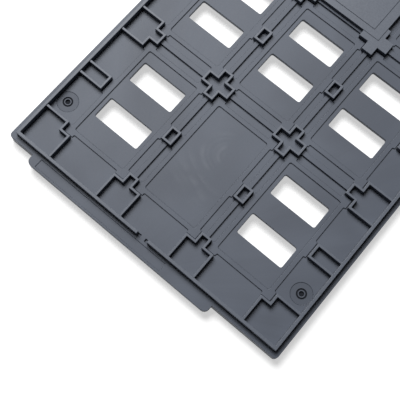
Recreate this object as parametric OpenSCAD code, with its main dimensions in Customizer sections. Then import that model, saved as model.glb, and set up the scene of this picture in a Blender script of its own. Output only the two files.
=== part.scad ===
/* [Outline] */
// Length of the body over its two short ends, without the end tabs
body_l = 315; // [306:0.5:340]
// Width of the body over its two long sides
body_w = 135.9; // [130:0.1:150]
// Overall height, from the foot of the skirt to the top of the rim
height = 7.62; // [7.4:0.01:9]
// Radius of the upright edges at the body's corners
corner_r = 1.6; // [0.6:0.1:2]
// Leg of the 45 degree chamfer that marks the first-pin corner
chamfer = 8; // [5:0.5:10]

/* [Rim, skirt and stacking seat] */
// Width of the open ledge between the outside and the rim
ledge_w = 2.2; // [2.1:0.05:3]
// Width of the top of the rim
rim_w = 1.3; // [0.9:0.1:1.8]
// Height of the rim above the ledge and the floors
rim_rise = 2.77; // [2.5:0.01:3]
// Thickness of the outer skirt, which drops outside the rim of the tray below
skirt_w = 2; // [1.4:0.05:2.05]
// Width of the seat inside the skirt, which lands on the rim of the tray below
seat_w = 2.7; // [2:0.1:4]
// Distance from one tray to the next in a stack
stack_pitch = 6.35; // [6:0.01:6.6]
// Thickness of the plate under the floors
plate_t = 1.5; // [1.1:0.1:2]

/* [Moulding gate at the near end] */
// Width of the gap that the gate leaves in the rim
gate_w = 5.3; // [4:0.1:8]
// Width of the stub left in the middle of the gap
gate_stub_w = 2.2; // [1:0.1:3]
// Depth of the two slots beside the stub, below the ledge
gate_slot_d = 0.8; // [0.4:0.1:1.2]

/* [End tabs] */
// Width of an end tab across the tray
tab_w = 92.1; // [60:0.1:100]
// How far an end tab stands out from the body
tab_out = 3.8; // [2.6:0.1:6]
// Thickness of an end tab, whose top is flush with the ledge
tab_t = 2.5; // [1.5:0.1:3]
// Distance from the middle of the tray to the middle of a tab
tab_shift = 9.1; // [0:0.1:12]
// Corner radius of an end tab
tab_r = 2.3; // [0.5:0.1:2.5]

/* [Bare marking field on the near tab] */
// Length of the shallow field, across the tray
field_w = 64.4; // [20:0.1:80]
// Width of the shallow field
field_l = 3.8; // [2:0.1:4.5]
// Depth of the shallow field
field_d = 0.25; // [0.1:0.05:0.6]
// Distance from the side of the tab to the field
field_side = 4.05; // [2.6:0.05:6]
// Distance from the end of the tab to the field
field_end = 0.85; // [0.5:0.05:1.5]

/* [Matrix] */
// Number of cells along the tray
rows = 5; // [1:2:5]
// Number of cells across the tray
columns = 3; // [1:2:3]
// Distance between cells along the tray
row_pitch = 58.11; // [57:0.01:58.5]
// Distance between cells across the tray
column_pitch = 36.894; // [36:0.001:37.6]

/* [Pocket] */
// Length of the shallow pocket that holds a device
pocket_l = 45.42; // [44:0.02:46]
// Width of the pocket
pocket_w = 25.5; // [24:0.1:26]
// Corner radius of the pocket
pocket_r = 0.8; // [0.3:0.1:2]
// Width of the raised frame round the pocket
frame_w = 1.88; // [1.2:0.02:2]
// Height of the frame above the floor
frame_rise = 0.45; // [0.2:0.05:0.8]

/* [Windows in a pocket] */
// Length of a window, along the tray
window_l = 10.1; // [6:0.1:12]
// Width of a window, across the tray
window_w = 22; // [12:0.1:23]
// Corner radius of a window
window_r = 0.8; // [0.3:0.1:2]
// Distance between the two windows of a pocket
window_pitch = 20.65; // [14:0.05:22]
// Distance from the middle of the pocket to the middle of its pair of windows
window_shift = 2.35; // [0:0.05:4]

/* [Grooves and ribs between the pockets] */
// Corner radius at the ends of a groove
groove_r = 0.5; // [0.2:0.1:1]
// Gap between the end of a groove and the post that it runs to
groove_gap = 0.3; // [0.1:0.05:0.35]
// Width of the rib in the grooves that run along the tray
long_rib_w = 1.9; // [1:0.1:2.6]
// Width of the rib in the grooves that run across the tray
cross_rib_w = 2.15; // [1:0.05:2.6]
// Height of the ribs above the floor
rib_rise = 0.9; // [0.5:0.1:1.4]

/* [Hollow posts] */
// Length of the cross-shaped posts, along the tray
cross_l = 14.1; // [11:0.1:16]
// Width of the cross-shaped posts, across the tray
cross_w = 13.6; // [11:0.1:16]
// Width of the arm that runs across the tray
arm_l = 5.72; // [4.4:0.02:6.4]
// Length of the small posts, along the tray
post_l = 6.95; // [5:0.05:9]
// Width of the small posts and of the arm that runs along the tray
post_w = 4.9; // [4:0.1:5.4]
// Thickness of the walls of the posts
wall = 1; // [0.7:0.05:1.3]
// How far the tops of the walls lie below the top of the rim
wall_drop = 0.35; // [0.1:0.05:0.6]
// Width of the moat round a post, at floor level
moat = 0.45; // [0.4:0.05:0.6]

/* [Pick-up plateau in the middle] */
// Length of the plateau
plateau_l = 58; // [57.2:0.1:60]
// Width of the plateau
plateau_w = 38.4; // [37.8:0.1:39.4]
// Length of the flat pad on the plateau
pad_l = 51.8; // [40:0.1:54]
// Width of the flat pad on the plateau
pad_w = 30; // [20:0.1:35]
// Height of the pad above the plateau
pad_rise = 0.2; // [0.1:0.05:0.3]
// Thickness of the plateau's roof
roof_t = 1.5; // [1.1:0.1:2]

/* [Ribs of the underside] */
// Thickness of the ribs under the plate
under_rib_w = 1.5; // [1:0.1:2]
// Gap between these ribs and the plateau of the tray below
under_rib_gap = 0.2; // [0.1:0.05:0.5]

/* [Round ejector marks] */
// Distance from the side of the body to a mark
mark_side = 8; // [7.5:0.1:9]
// Distance from the end of the body to a mark
mark_end = 25.6; // [25:0.1:28]
// Radius of the faint disc
disc_r = 4.4; // [3:0.1:4.4]
// Depth of the faint disc
disc_d = 0.1; // [0.05:0.05:0.2]
// Inner radius of the ring groove
ring_r = 1.6; // [1.4:0.05:1.8]
// Width of the ring groove
ring_w = 0.45; // [0.3:0.05:0.7]
// Depth of the ring groove
ring_d = 0.4; // [0.2:0.05:0.6]
// Radius of the hole in the middle
core_r = 1; // [0.6:0.05:1.1]
// Depth of the hole in the middle
core_d = 0.7; // [0.3:0.05:0.9]

/* [Hidden] */

// Levels, from the surface that the tray stands on
floor_z = height - rim_rise;
plate_z = floor_z - plate_t;
seat_z = height - stack_pitch;
under_rib_z = seat_z + under_rib_gap;
wall_z = height - wall_drop;
plateau_z = height - pad_rise;

// Insets of the rim's and the seat's faces from the outside
rim_in = ledge_w + rim_w;
rim_mid = ledge_w + rim_w / 2;
seat_in = skirt_w + seat_w;

// The cell in the middle of the matrix, which carries the plateau
mid_row = (rows - 1) / 2;
mid_column = (columns - 1) / 2;

// Farther out than the body, and deeper than any cut
reach_x = body_l;
reach_y = body_w;
past = 1;
corner_steps = 4;

// The lines between the cells, and the middles of the cells
function row_line(j) = (j - rows / 2) * row_pitch;
function column_line(i) = (i - columns / 2) * column_pitch;
function row_mid(j) = row_line(j + 0.5);
function column_mid(i) = column_line(i + 0.5);

// From one side of a middle to the other
function about(middle, half) = [middle - half, middle + half];

// The same, or past the rim for what stands on the first or last line
function span(middle, half, line, last, reach) = [
    line == 0 ? -reach : middle - half,
    line == last ? reach : middle + half
];

// A quarter circle about a centre, which starts at an angle
function quarter(centre, r, start) = [
    for (k = [0:corner_steps])
        centre + r * [cos(start + 90 * k / corner_steps), sin(start + 90 * k / corner_steps)]
];

// A rectangle about the origin with round corners
function round_rect(l, w, r) = concat(
    quarter([l / 2 - r, w / 2 - r], r, 0),
    quarter([-l / 2 + r, w / 2 - r], r, 90),
    quarter([-l / 2 + r, -w / 2 + r], r, 180),
    quarter([l / 2 - r, -w / 2 + r], r, 270)
);

// The body's outline, moved in by an inset: three round corners, and a chamfer at the first pin.
// A 45 degree chamfer that moves in loses 2 - sqrt(2) of the inset from its legs.
function body_outline(inset) =
    let (
        x = body_l / 2 - inset,
        y = body_w / 2 - inset,
        r = max(corner_r - inset, 0.3),
        leg = chamfer - inset * (2 - sqrt(2))
    )
    concat(
        [[x, y - leg], [x - leg, y]],
        quarter([-x + r, y - r], r, 90),
        quarter([-x + r, -y + r], r, 180),
        quarter([x - r, -y + r], r, 270)
    );

// A flat ring between two insets of the outline
module ring_2d(outer, inner) {
    difference() {
        polygon(body_outline(outer));
        polygon(body_outline(inner));
    }
}

// A rectangle from one x to another and one y to another
module box_2d(x, y) {
    translate([x[0], y[0]]) square([x[1] - x[0], y[1] - y[0]]);
}

// A cross where two lines meet, grown or shrunk on all sides; on the edge it runs out past the rim
module cross_2d(i, j, grow) {
    x = row_line(j);
    y = column_line(i);
    box_2d(span(x, cross_l / 2 + grow, j, rows, reach_x), span(y, post_w / 2 + grow, i, columns, reach_y));
    box_2d(span(x, arm_l / 2 + grow, j, rows, reach_x), span(y, cross_w / 2 + grow, i, columns, reach_y));
}

// A small post on a line beside the middle of a cell
module post_2d(i, j, grow) {
    box_2d(about(row_mid(j), post_l / 2 + grow), span(column_line(i), post_w / 2 + grow, i, columns, reach_y));
}

// The posts that touch the plateau are solid
function beside(line, middle) = line == middle || line == middle + 1;

// All posts, grown or shrunk, the solid ones with them or not
module posts_2d(grow, with_solid = true) {
    for (i = [0:columns], j = [0:rows])
        if (with_solid || !(beside(i, mid_column) && beside(j, mid_row))) cross_2d(i, j, grow);
    for (i = [0:columns], j = [0:rows - 1])
        if (with_solid || !(beside(i, mid_column) && j == mid_row)) post_2d(i, j, grow);
}

// A groove of a given size about the middle of the stretch that it fills
module groove_2d(x, y) {
    l = x[1] - x[0];
    w = y[1] - y[0];
    translate([x[0] + l / 2, y[0] + w / 2]) polygon(round_rect(l, w, groove_r));
}

// The grooves along the tray, from a cross to a post, and those across it, from cross to cross.
// On the first and last lines they widen into the plain cells beside the rim.
module grooves_2d() {
    half_x = (row_pitch - pocket_l) / 2 - frame_w;
    half_y = (column_pitch - pocket_w) / 2 - frame_w;
    from_cross = cross_l / 2 + groove_gap;
    from_post = post_l / 2 + groove_gap;
    for (i = [0:columns], j = [0:rows - 1]) {
        y = span(column_line(i), half_y, i, columns, reach_y);
        groove_2d([row_line(j) + from_cross, row_mid(j) - from_post], y);
        groove_2d([row_mid(j) + from_post, row_line(j + 1) - from_cross], y);
    }
    for (i = [0:columns - 1], j = [0:rows]) {
        x = span(row_line(j), half_x, j, rows, reach_x);
        end = cross_w / 2 + groove_gap;
        groove_2d(x, [column_line(i) + end, column_line(i + 1) - end]);
    }
}

// The shallow pockets of all cells
module pockets_2d() {
    for (i = [0:columns - 1], j = [0:rows - 1])
        translate([row_mid(j), column_mid(i)]) polygon(round_rect(pocket_l, pocket_w, pocket_r));
}

// The raised frames: all of the field inside the rim that is not pocket, groove or moat
module frames_2d() {
    difference() {
        polygon(body_outline(rim_mid));
        pockets_2d();
        grooves_2d();
        intersection() {
            polygon(body_outline(rim_in));
            posts_2d(moat);
        }
    }
}

// The ribs along the inner lines, open where the posts are hollow
module ribs_2d() {
    difference() {
        union() {
            for (i = [1:1:columns - 1])
                box_2d([row_line(0), row_line(rows)], about(column_line(i), long_rib_w / 2));
            for (j = [1:1:rows - 1])
                box_2d(about(row_line(j), cross_rib_w / 2), [column_line(0), column_line(columns)]);
        }
        posts_2d(-wall);
    }
}

// The walls of the posts, and of the boxes that they make against the rim
module walls_2d() {
    difference() {
        intersection() {
            polygon(body_outline(rim_mid));
            posts_2d(0);
        }
        intersection() {
            polygon(body_outline(rim_in));
            posts_2d(-wall, false);
        }
    }
}

// The two windows of each cell; the plateau and the blank cells at its column's ends have none
module windows_2d() {
    for (i = [0:columns - 1], j = [0:rows - 1])
        if (i != mid_column || (j != mid_row && j != 0 && j != rows - 1))
            for (side = [-1, 1])
                translate([row_mid(j) + window_shift + side * window_pitch / 2, column_mid(i)])
                    polygon(round_rect(window_l, window_w, window_r));
}

// The grid of ribs under the plate, on the lines between the cells
module under_ribs_2d() {
    intersection() {
        polygon(body_outline(skirt_w + seat_w / 2));
        union() {
            for (i = [0:columns])
                box_2d([-reach_x, reach_x], about(column_line(i), under_rib_w / 2));
            for (j = [0:rows])
                box_2d(about(row_line(j), under_rib_w / 2), [-reach_y, reach_y]);
        }
    }
}

// Skirt, stacking seat, plate and rim
module shell() {
    linear_extrude(floor_z) ring_2d(0, skirt_w);
    translate([0, 0, seat_z]) linear_extrude(floor_z - seat_z) ring_2d(0, seat_in);
    translate([0, 0, plate_z]) linear_extrude(plate_t) polygon(body_outline(0));
    translate([0, 0, plate_z]) linear_extrude(height - plate_z) ring_2d(ledge_w, rim_in);
    translate([0, 0, under_rib_z]) linear_extrude(floor_z - under_rib_z) under_ribs_2d();
}

// What stands on the floors
module matrix() {
    translate([0, 0, plate_z]) linear_extrude(plate_t + frame_rise) frames_2d();
    translate([0, 0, plate_z]) linear_extrude(plate_t + rib_rise) ribs_2d();
    translate([0, 0, plate_z]) linear_extrude(wall_z - plate_z) walls_2d();
}

// The plateau for the vacuum cup, with its flat pad
module plateau() {
    translate([0, 0, plate_z]) linear_extrude(plateau_z - plate_z) square([plateau_l, plateau_w], center = true);
    translate([0, 0, plate_z]) linear_extrude(height - plate_z) square([pad_l, pad_w], center = true);
}

// The hollow under the plateau, between the ribs of the underside
module plateau_hollow() {
    translate([0, 0, -past])
        linear_extrude(height - roof_t + past)
            square([row_pitch - under_rib_w, column_pitch - under_rib_w], center = true);
}

// One end tab, which runs back under the ledge as far as the seat
module tab(side) {
    l = tab_out + seat_in;
    translate([side * (body_l / 2 + tab_out - l / 2), tab_shift, floor_z - tab_t])
        linear_extrude(tab_t)
            polygon(round_rect(l, tab_w, tab_r));
}

// The marking field, sunk in the top of the near tab and left bare
module marking_field() {
    translate([-body_l / 2 - tab_out + field_end, tab_shift + tab_w / 2 - field_side - field_w, floor_z - field_d])
        cube([field_l, field_w, field_d + past]);
}

// The gap that the gate leaves in the rim of the near end, with a slot on each side of its stub
module gate() {
    x = -body_l / 2 + ledge_w;
    translate([x - past / 2, -gate_w / 2, floor_z]) cube([rim_w + past, gate_w, rim_rise + past]);
    slot_w = (gate_w - gate_stub_w) / 2;
    for (side = [-1, 1])
        translate([x, side * (gate_w - slot_w) / 2 - slot_w / 2, floor_z - gate_slot_d])
            cube([rim_w, slot_w, gate_slot_d + past]);
}

// A round ejector mark: a faint disc, a ring groove and a small blind hole
module ejector_mark() {
    translate([0, 0, -disc_d]) cylinder(h = disc_d + past, r = disc_r, $fn = 64);
    translate([0, 0, -ring_d])
        difference() {
            cylinder(h = ring_d, r = ring_r + ring_w, $fn = 48);
            translate([0, 0, -past]) cylinder(h = ring_d + 2 * past, r = ring_r, $fn = 48);
        }
    translate([0, 0, -core_d]) cylinder(h = core_d, r = core_r, $fn = 32);
}

// The whole tray is one moulding
module tray() {
    color("slategray")
        difference() {
            union() {
                shell();
                matrix();
                plateau();
                for (side = [-1, 1]) tab(side);
            }
            translate([0, 0, plate_z - past]) linear_extrude(plate_t + 2 * past) windows_2d();
            plateau_hollow();
            marking_field();
            gate();
            for (sx = [-1, 1], sy = [-1, 1])
                translate([sx * (body_l / 2 - mark_end), sy * (body_w / 2 - mark_side), floor_z])
                    ejector_mark();
        }
}

tray();
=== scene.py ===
# %% [markdown]
# # A moulded matrix tray for ic packages
#
# The tray is one injection moulding in a dark, carbon-filled plastic. Machines read its
# outline, so its true sizes come from the solid model, which is loaded here as a fixed frame.
# Everything below only dresses that frame: softer edges, the skin of the plastic, a floor,
# lamps and a camera. All lengths are in metres.

# %% Load the frame
import math

import bmesh
import bpy
import numpy as np
from mathutils import Euler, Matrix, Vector


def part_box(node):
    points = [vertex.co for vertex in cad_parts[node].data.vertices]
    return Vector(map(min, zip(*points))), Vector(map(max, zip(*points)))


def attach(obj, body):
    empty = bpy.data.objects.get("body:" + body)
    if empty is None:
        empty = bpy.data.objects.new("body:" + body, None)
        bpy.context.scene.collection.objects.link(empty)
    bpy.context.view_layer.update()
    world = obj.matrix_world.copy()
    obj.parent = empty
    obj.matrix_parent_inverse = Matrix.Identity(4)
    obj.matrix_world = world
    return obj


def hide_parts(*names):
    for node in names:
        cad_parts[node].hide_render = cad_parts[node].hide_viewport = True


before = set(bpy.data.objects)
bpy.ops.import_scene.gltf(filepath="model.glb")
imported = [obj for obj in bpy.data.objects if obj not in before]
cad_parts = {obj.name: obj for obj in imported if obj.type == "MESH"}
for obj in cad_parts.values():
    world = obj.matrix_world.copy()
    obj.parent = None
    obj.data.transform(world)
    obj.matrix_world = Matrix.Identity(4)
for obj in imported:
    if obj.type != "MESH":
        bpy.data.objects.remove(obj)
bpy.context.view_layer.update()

MM = 0.001

# %% [markdown]
# ## Landmarks
#
# A finish has to know where things are: where the plastic entered the mould, which cell is
# blank, how high the walls reach. These places are worked out from the tray's own box and
# from the pitch of its matrix, so they follow the frame.

# %% Landmarks of the tray
END_TAB = 3.8 * MM
ROW_PITCH = 58.11 * MM
COLUMN_PITCH = 36.894 * MM
ROWS = 5
COLUMNS = 3
MIDDLE_COLUMN = 1
WALL_BELOW_RIM = 0.35 * MM
FLOOR_BELOW_RIM = 2.77 * MM

tray_low, tray_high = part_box("tray")
body_end = tray_high.x - END_TAB
wall_z = tray_high.z - WALL_BELOW_RIM
floor_z = tray_high.z - FLOOR_BELOW_RIM


def cell_middle(row, column):
    """Middle of a cell: its place from the middle of the matrix, times the pitch, both ways."""
    return (row - (ROWS - 1) / 2) * ROW_PITCH, (column - (COLUMNS - 1) / 2) * COLUMN_PITCH


gate_point = (-body_end, 0.0)
blank_cells = [cell_middle(row, MIDDLE_COLUMN) for row in (0, ROWS - 1)]
print("gate", gate_point, "blank cells", np.round(blank_cells, 4).tolist())

# %% [markdown]
# ## The moulding
#
# A mould can't leave a perfectly sharp edge, and the eye knows a plastic part by the thin
# bright lines along its edges. They could be faked in a shader, but a real bevel also holds
# up close to. The frame's mesh must stay as it is, so the bevel goes on a copy. That copy
# arrives as loose triangles: they are joined first, and triangles that share a plane are
# dissolved into whole faces, because a bevel follows the edges of faces.

# %% Join the triangles of a copy
SAME_PLANE = math.radians(0.3)
MERGE = 0.002 * MM


def whole_faces(source, name):
    """A copy of a mesh with its doubled points merged and its flat stretches made whole faces."""
    form = bmesh.new()
    form.from_mesh(source.data)
    bmesh.ops.remove_doubles(form, verts=form.verts, dist=MERGE)
    bmesh.ops.dissolve_limit(
        form, angle_limit=SAME_PLANE, verts=form.verts, edges=form.edges, delimit={"NORMAL"}
    )
    mesh = bpy.data.meshes.new(name)
    form.to_mesh(mesh)
    form.free()
    piece = bpy.data.objects.new(name, mesh)
    bpy.context.scene.collection.objects.link(piece)
    return piece


moulding = whole_faces(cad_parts["tray"], "tray_moulding")
print("moulding", len(moulding.data.vertices), "points", len(moulding.data.polygons), "faces")

# %% [markdown]
# ### Soft edges
#
# The radius is small, little more than a tenth of a millimetre, as a mould cut with an end
# mill and then polished leaves it. The angle limit keeps the bevel off the short facets of
# the round corners. Faces stay flat shaded: a moulding's walls are flat right up to their
# edges, and the bevel does the rest.

# %% Bevel the edges
EDGE_RADIUS = 0.13 * MM
EDGE_ANGLE = math.radians(35)
EDGE_STEPS = 2


def soften(piece):
    """Rounds every edge sharper than the limit by the same small radius, in two steps."""
    bevel = piece.modifiers.new("mould_edge", "BEVEL")
    bevel.width = EDGE_RADIUS
    bevel.segments = EDGE_STEPS
    bevel.limit_method = "ANGLE"
    bevel.angle_limit = EDGE_ANGLE
    bevel.use_clamp_overlap = False
    bevel.miter_outer = "MITER_SHARP"
    piece.data.polygons.foreach_set("use_smooth", np.zeros(len(piece.data.polygons), bool))


soften(moulding)
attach(moulding, "root")
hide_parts("tray")
print("edge radius", EDGE_RADIUS / MM, "mm")

# %% [markdown]
# ## The plastic
#
# Carbon-filled plastic is a dark slate grey with a soft sheen. Three things keep it from
# looking like a flat colour: the fine spark-eroded grain of the mould, the slow change of
# tone where the melt cooled at different speeds, and the flow lines that fan out from the
# gate. Each one is a layer of noise on Object coordinates, which stay put on the part.

# %% Helpers for a node tree


class Sheet:
    """A short way to lay out nodes: add one, link its inputs, and get its output back."""

    def __init__(self, material):
        material.use_nodes = True
        self.tree = material.node_tree
        self.tree.nodes.clear()

    def node(self, kind, settings=None, **inputs):
        """Adds a node, sets its properties, then fills or links its inputs by name."""
        made = self.tree.nodes.new(kind)
        for key, value in (settings or {}).items():
            setattr(made, key, value)
        for key, value in inputs.items():
            self.fill(made, key.replace("_", " "), value)
        return made

    def fill(self, made, key, value):
        """Fills one input, found by its name or its number, with a value or a link."""
        socket = made.inputs[int(key)] if key.isdigit() else made.inputs[key]
        if isinstance(value, bpy.types.NodeSocket):
            self.tree.links.new(value, socket)
        else:
            socket.default_value = value

    def math(self, operation, a, b=0.0, clamp=False):
        """One arithmetic step on two numbers."""
        made = self.node("ShaderNodeMath", {"operation": operation, "use_clamp": clamp})
        self.fill(made, "0", a)
        self.fill(made, "1", b)
        return made.outputs[0]

    def scale(self, value, low, high, to_low, to_high, smooth=False):
        """Maps one stretch of numbers onto another, held at its ends."""
        kind = "SMOOTHSTEP" if smooth else "LINEAR"
        made = self.node("ShaderNodeMapRange", {"interpolation_type": kind, "clamp": True})
        for key, number in (("0", value), ("1", low), ("2", high), ("3", to_low), ("4", to_high)):
            self.fill(made, key, number)
        return made.outputs[0]

    def blend(self, share, first, second):
        """Mixes two colours by a share."""
        made = self.node("ShaderNodeMix", {"data_type": "RGBA"})
        self.fill(made, "0", share)
        self.fill(made, "6", first)
        self.fill(made, "7", second)
        return made.outputs[2]

    def noise(self, where, scale, detail=2.0, distortion=0.0):
        """Soft noise between 0 and 1, whose scale counts its waves in a metre."""
        made = self.node(
            "ShaderNodeTexNoise", None, Vector=where, Scale=scale, Detail=detail, Distortion=distortion
        )
        return made.outputs[0]


print("node helpers ready")

# %% [markdown]
# ### Where the melt flowed
#
# The melt enters at the gate in the middle of one end and spreads like a fan. In polar
# coordinates about the gate the flow runs along the radius, so noise that is stretched along
# the radius and squeezed along the angle draws faint streaks in the right direction.

# %% Coordinates of the flow
FAN_BEHIND_GATE = 20 * MM
STREAK_ACROSS = 0.3
STREAK_ALONG = 0.12


def flow_coordinates(sheet, place):
    """Angle about a point just behind the gate, and the distance from it, each times its share.

    The distance is the root of x squared plus y squared. Its smaller share draws streaks long.
    """
    parts = sheet.node("ShaderNodeSeparateXYZ", None, Vector=place)
    x = sheet.math("SUBTRACT", parts.outputs[0], gate_point[0] - FAN_BEHIND_GATE)
    y = sheet.math("SUBTRACT", parts.outputs[1], gate_point[1])
    angle = sheet.math("ARCTAN2", y, x)
    squares = sheet.math("ADD", sheet.math("MULTIPLY", x, x), sheet.math("MULTIPLY", y, y))
    distance = sheet.math("SQRT", squares)
    joined = sheet.node("ShaderNodeCombineXYZ")
    sheet.fill(joined, "0", sheet.math("MULTIPLY", angle, STREAK_ACROSS))
    sheet.fill(joined, "1", sheet.math("MULTIPLY", distance, STREAK_ALONG))
    return joined.outputs[0]


print("flow starts at", gate_point)

# %% [markdown]
# ### Arcs in the blank cells
#
# A blank cell has a wide floor without windows, and faint arcs of the melt show on it. An
# even ring pattern would look drawn. Noise of the distance from a point makes rings too, of
# uneven width, and two slower noises bend them and let them fade in and out.

# %% Arcs and the patch they lie in
ARC_CENTRE = (9 * MM, -5 * MM)
ARC_BEND = 16 * MM
PATCH_HALF = 24 * MM
PATCH_SQUEEZE = 1.7


def arcs(sheet, place, middle):
    """Rings about a point: noise of the distance from it, which slower noise bends and breaks up."""
    away = sheet.node("ShaderNodeVectorMath", {"operation": "DISTANCE"})
    sheet.fill(away, "0", place)
    sheet.fill(away, "1", (middle[0] + ARC_CENTRE[0], middle[1] + ARC_CENTRE[1], floor_z))
    bend = sheet.math("MULTIPLY", sheet.noise(place, 38.0, 1.0), ARC_BEND)
    along = sheet.node("ShaderNodeCombineXYZ")
    sheet.fill(along, "0", sheet.math("ADD", away.outputs[1], bend))
    rings = sheet.scale(sheet.noise(along.outputs[0], 300.0, 1.0), 0.40, 0.66, 0.0, 1.0, smooth=True)
    broken = sheet.scale(sheet.noise(place, 48.0, 2.0, 0.8), 0.42, 0.64, 0.0, 1.0, smooth=True)
    return sheet.math("MULTIPLY", rings, broken)


def near_cell(sheet, place, middle):
    """1 inside an oval patch about a cell's middle, and 0 beyond it: the distance, y stretched."""
    away = sheet.node("ShaderNodeVectorMath", {"operation": "DISTANCE"})
    flat = sheet.node("ShaderNodeVectorMath", {"operation": "MULTIPLY"})
    sheet.fill(flat, "0", place)
    sheet.fill(flat, "1", (1.0, PATCH_SQUEEZE, 0.0))
    sheet.fill(away, "0", flat.outputs[0])
    sheet.fill(away, "1", (middle[0], middle[1] * PATCH_SQUEEZE, 0.0))
    return sheet.scale(away.outputs[1], PATCH_HALF * 0.35, PATCH_HALF, 1.0, 0.0, smooth=True)


print("arcs reach", PATCH_HALF / MM, "mm from the middle of a blank cell")

# %% [markdown]
# ### Painted shade in the ejector marks
#
# Each ejector pin leaves a ring groove and a small hole in a border cell. Their grooves and
# holes are painted dark as shade, and their shallow discs a little darker. The four marks lie
# alike in the four corners: the sizes of x and y alone are enough to find the nearest one.

# %% Painted shade in the ring grooves and the small holes
MARK_X = body_end - 25.6 * MM
MARK_Y = tray_high.y - 8 * MM
GROOVE_RADIUS = 1.82 * MM


def mark_painted_shade(sheet, place):
    """Painted shade mask: 1 in a mark's ring groove and hole, a little on its disc, by the distance to
    the nearest mark.
    """
    folded = sheet.node("ShaderNodeVectorMath", {"operation": "ABSOLUTE"})
    sheet.fill(folded, "0", place)
    flat = sheet.node("ShaderNodeVectorMath", {"operation": "MULTIPLY"})
    sheet.fill(flat, "0", folded.outputs[0])
    sheet.fill(flat, "1", (1.0, 1.0, 0.0))
    away = sheet.node("ShaderNodeVectorMath", {"operation": "DISTANCE"})
    sheet.fill(away, "0", flat.outputs[0])
    sheet.fill(away, "1", (MARK_X, MARK_Y, 0.0))
    distance = away.outputs[1]
    off_ring = sheet.math("ABSOLUTE", sheet.math("SUBTRACT", distance, GROOVE_RADIUS))
    ring = sheet.scale(off_ring, 0.3 * MM, 0.4 * MM, 1.0, 0.0)
    hole = sheet.scale(distance, 1.0 * MM, 1.12 * MM, 1.0, 0.0)
    disc = sheet.scale(distance, 4.1 * MM, 4.5 * MM, 0.14, 0.0)
    return sheet.math("MAXIMUM", sheet.math("MAXIMUM", ring, hole), disc)


print("ejector marks at", round(MARK_X / MM, 1), round(MARK_Y / MM, 1), "mm")

# %% [markdown]
# ### Painted shade in the inner corners
#
# Where a wall meets a floor, the colour is painted darker as shade. Measuring how much of
# the sky a point can see within about half a millimetre finds exactly these corners. They
# could be painted by hand, but the paint wouldn't follow a post whose size changes.

# %% Painted shade in the inner corners
CORNER_REACH = 0.55 * MM


def corner_painted_shade(sheet):
    """Painted shade mask: 1 deep in an inner corner and 0 on open faces: what the near surroundings
    hide, stretched.
    """
    hidden = sheet.node("ShaderNodeAmbientOcclusion", {"samples": 8, "only_local": True})
    hidden.inputs["Distance"].default_value = CORNER_REACH
    return sheet.scale(hidden.outputs["AO"], 0.45, 0.95, 1.0, 0.0)


print("corner dust reaches", CORNER_REACH / MM, "mm")

# %% [markdown]
# ### All layers together
#
# The layers are mixed one over another: the plastic's own tone, the arcs of the melt, the wall
# tops, rubbed and painted lighter as a highlight, the painted shade in the corners, and the
# painted shade in the marks. Colour, roughness and bump share these layers, so that a streak
# that is a little lighter is also a little glossier. Wall tops rub on the tray above in a stack,
# which polishes them, and their colour is painted lighter as a highlight: the height above the
# floor says where.

# %% The tray's plastic
SLATE = (0.098, 0.113, 0.145, 1.0)
SLATE_DARK = (0.078, 0.090, 0.117, 1.0)
# Lighter slate: the arcs of the melt, and the painted highlight on the wall tops.
SLATE_PALE = (0.135, 0.151, 0.184, 1.0)
# Near-black painted shade, for the inner corners and the ejector marks.
SHADE_BLACK = (0.010, 0.012, 0.018, 1.0)
ARC_SHARE = 0.45
CORNER_SHADE_SHARE = 0.75


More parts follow.
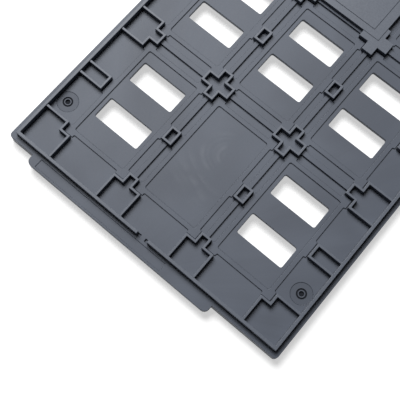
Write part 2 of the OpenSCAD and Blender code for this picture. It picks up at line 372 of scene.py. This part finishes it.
def moulded_plastic():
    """Dark filled plastic: tone, streaks and arcs, then rubbed tops with a painted highlight, and
    painted shade in the corners and marks.
    """
    material = bpy.data.materials.new("moulded_slate_plastic")
    sheet = Sheet(material)
    place = sheet.node("ShaderNodeTexCoord").outputs["Object"]
    height = sheet.node("ShaderNodeSeparateXYZ", None, Vector=place).outputs[2]

    grain = sheet.noise(place, 5200.0, 3.0)
    speck = sheet.noise(place, 1500.0, 2.0)
    slow = sheet.noise(place, 26.0, 2.0, 0.6)
    streaks = sheet.noise(flow_coordinates(sheet, place), 90.0, 3.0, 0.4)

    near, far = [
        sheet.math("MULTIPLY", arcs(sheet, place, middle), near_cell(sheet, place, middle))
        for middle in blank_cells
    ]
    swirl = sheet.math("MAXIMUM", near, far)

    tone = sheet.math("ADD", sheet.math("MULTIPLY", slow, 0.8), sheet.math("MULTIPLY", streaks, 0.2))
    tone = sheet.scale(tone, 0.38, 0.62, 0.0, 1.0)
    colour = sheet.blend(tone, SLATE_DARK, SLATE)
    colour = sheet.blend(sheet.math("MULTIPLY", swirl, ARC_SHARE), colour, SLATE_PALE)
    # Wall tops: polished by rubbing, and their colour painted lighter as a highlight.
    worn_and_highlit_tops = sheet.scale(height, wall_z - 0.12 * MM, wall_z - 0.02 * MM, 0.0, 1.0)
    wear_and_highlight = sheet.math("MULTIPLY", worn_and_highlit_tops, sheet.scale(speck, 0.35, 0.7, 0.35, 0.75))
    colour = sheet.blend(wear_and_highlight, colour, SLATE_PALE)
    # Painted shade: the inner corners are darkened towards near-black.
    colour = sheet.blend(sheet.math("MULTIPLY", corner_painted_shade(sheet), CORNER_SHADE_SHARE), colour, SHADE_BLACK)
    # Painted shade: the ejector marks' ring grooves, holes and discs are darkened.
    mark_shade = mark_painted_shade(sheet, place)
    colour = sheet.blend(mark_shade, colour, SHADE_BLACK)

    roughness = sheet.scale(grain, 0.3, 0.7, 0.47, 0.57)
    roughness = sheet.math("SUBTRACT", roughness, sheet.math("MULTIPLY", swirl, 0.07))
    roughness = sheet.math("SUBTRACT", roughness, sheet.math("MULTIPLY", worn_and_highlit_tops, 0.08))
    roughness = sheet.math("ADD", roughness, sheet.scale(streaks, 0.35, 0.65, -0.01, 0.01))
    roughness = sheet.math("ADD", roughness, sheet.math("MULTIPLY", mark_shade, 0.4), clamp=True)

    relief = sheet.math("ADD", grain, sheet.math("MULTIPLY", slow, 2.0))
    bump = sheet.node("ShaderNodeBump", None, Strength=0.35, Distance=0.02 * MM, Height=relief)
    shader = sheet.node("ShaderNodeBsdfPrincipled", None, Normal=bump.outputs[0])
    sheet.fill(shader, "Base Color", colour)
    sheet.fill(shader, "Roughness", roughness)
    shader.inputs["IOR"].default_value = 1.5
    shader.inputs["Specular IOR Level"].default_value = 0.35
    out = sheet.node("ShaderNodeOutputMaterial")
    sheet.fill(out, "Surface", shader.outputs[0])
    return material


plastic = moulded_plastic()
moulding.data.materials.clear()
moulding.data.materials.append(plastic)
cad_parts["tray"].data.materials.clear()
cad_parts["tray"].data.materials.append(plastic)
print("finish", plastic.name, len(plastic.node_tree.nodes), "nodes")

# %% [markdown]
# ## The floor
#
# A white sheet with a soft shadow sets off a dark part. The floor is an ordinary pale
# surface, so that it bounces light up through the windows as a real one does. To the camera
# it adds a little glow of its own, which lifts it to pure white where nothing shades it.
# Farther out the lamp fades, so the glow rises there, and no horizon shows.

# %% A pale floor
FLOOR_HALF = 1.6
FLOOR_STEPS = 8
FLOOR_GLOW = 0.55
LAMP_FADES_FROM = 0.3
LAMP_GONE_AT = 1.1


def floor_sheet():
    """A flat grid: x and y run evenly over the square, and z is the level the tray stands on."""
    side = np.linspace(-FLOOR_HALF, FLOOR_HALF, FLOOR_STEPS + 1)
    x, y = np.meshgrid(side, side, indexing="ij")
    points = np.stack([x, y, np.full_like(x, tray_low.z)], axis=-1).reshape(-1, 3)
    row = FLOOR_STEPS + 1
    first = (np.arange(FLOOR_STEPS)[:, None] * row + np.arange(FLOOR_STEPS)[None, :]).ravel()
    faces = np.stack([first, first + row, first + row + 1, first + 1], axis=1)
    mesh = bpy.data.meshes.new("floor")
    mesh.from_pydata(points.tolist(), [], faces.tolist())
    sheet = bpy.data.objects.new("floor", mesh)
    bpy.context.scene.collection.objects.link(sheet)
    return sheet


def floor_paint():
    """Pale matt paint, plus a glow for the camera and reflections that rises where the lamp fades."""
    material = bpy.data.materials.new("pale_floor")
    sheet = Sheet(material)
    away = sheet.node("ShaderNodeVectorMath", {"operation": "LENGTH"})
    sheet.fill(away, "0", sheet.node("ShaderNodeTexCoord").outputs["Object"])
    glow = sheet.scale(
        away.outputs[1], LAMP_FADES_FROM, LAMP_GONE_AT, FLOOR_GLOW, 1.0, smooth=True
    )
    path = sheet.node("ShaderNodeLightPath")
    seen = sheet.math("MAXIMUM", path.outputs["Is Camera Ray"], path.outputs["Is Glossy Ray"])
    seen = sheet.math("MAXIMUM", seen, path.outputs["Is Transmission Ray"])
    matt = sheet.node("ShaderNodeBsdfDiffuse", None, Color=(0.66, 0.66, 0.66, 1.0))
    lit = sheet.node("ShaderNodeEmission", None, Color=(1.0, 1.0, 1.0, 1.0))
    sheet.fill(lit, "Strength", sheet.math("MULTIPLY", seen, glow))
    both = sheet.node("ShaderNodeAddShader")
    sheet.fill(both, "0", matt.outputs[0])
    sheet.fill(both, "1", lit.outputs[0])
    out = sheet.node("ShaderNodeOutputMaterial")
    sheet.fill(out, "Surface", both.outputs[0])
    return material


floor = floor_sheet()
floor.data.materials.append(floor_paint())
print("floor", 2 * FLOOR_HALF, "m")

# %% [markdown]
# ## Light
#
# One large soft box hangs high beyond the far corner. Its light comes down the walls from
# behind, so the faces towards the viewer fall dark and the floors pick up a broad sheen.
# A weak world fills in, and looks white to the camera.

# %% Lamps and world


def soft_box(name, place, aim, size, power):
    """A square lamp at a place that faces a point."""
    light = bpy.data.lights.new(name, "AREA")
    light.shape = "SQUARE"
    light.size = size
    light.energy = power
    lamp = bpy.data.objects.new(name, light)
    lamp.location = place
    lamp.rotation_euler = (Vector(aim) - Vector(place)).to_track_quat("-Z", "Y").to_euler()
    bpy.context.scene.collection.objects.link(lamp)
    return lamp


def pale_world(fill):
    """A dim even sky, drawn white for the camera alone, so that the white lights nothing."""
    world = bpy.data.worlds.new("pale_world")
    bpy.context.scene.world = world
    sheet = Sheet(world)
    path = sheet.node("ShaderNodeLightPath")
    strength = sheet.scale(path.outputs["Is Camera Ray"], 0.0, 1.0, fill, 1.0)
    sky = sheet.node("ShaderNodeBackground", None, Color=(1.0, 1.0, 1.0, 1.0))
    sheet.fill(sky, "Strength", strength)
    out = sheet.node("ShaderNodeOutputWorld")
    sheet.fill(out, "Surface", sky.outputs[0])


key = soft_box("key_softbox", (0.35, 0.65, 1.12), (-0.1, 0.0, 0.0), 0.85, 24.5)
pale_world(0.05)
print("key lamp", key.data.energy, "W")

# %% [markdown]
# ## Camera
#
# The view looks steeply down on the near end of the tray from just outside it, close enough
# for the far end to run out of the frame. A steep view shows the matrix; the slight slant
# shows how deep the posts stand.

# %% Camera
LENS = 70.96
SENSOR = 36.0

lens = bpy.data.cameras.new("camera")
lens.sensor_width = SENSOR
lens.lens = LENS
lens.clip_start = 0.01
camera = bpy.data.objects.new("camera", lens)
camera.location = (-0.19784, -0.05388, 0.30103)
camera.rotation_euler = Euler([math.radians(angle) for angle in (15.6727, -1.6662, -49.8860)])
bpy.context.scene.collection.objects.link(camera)
bpy.context.scene.camera = camera
bpy.context.scene.view_settings.view_transform = "Standard"
print("camera", tuple(round(value, 3) for value in camera.location))

# %% [markdown]
# ## Finish
#
# The dressed tray has to keep the frame's size; the view layer is brought up to date.

# %% Finish
bpy.context.view_layer.update()
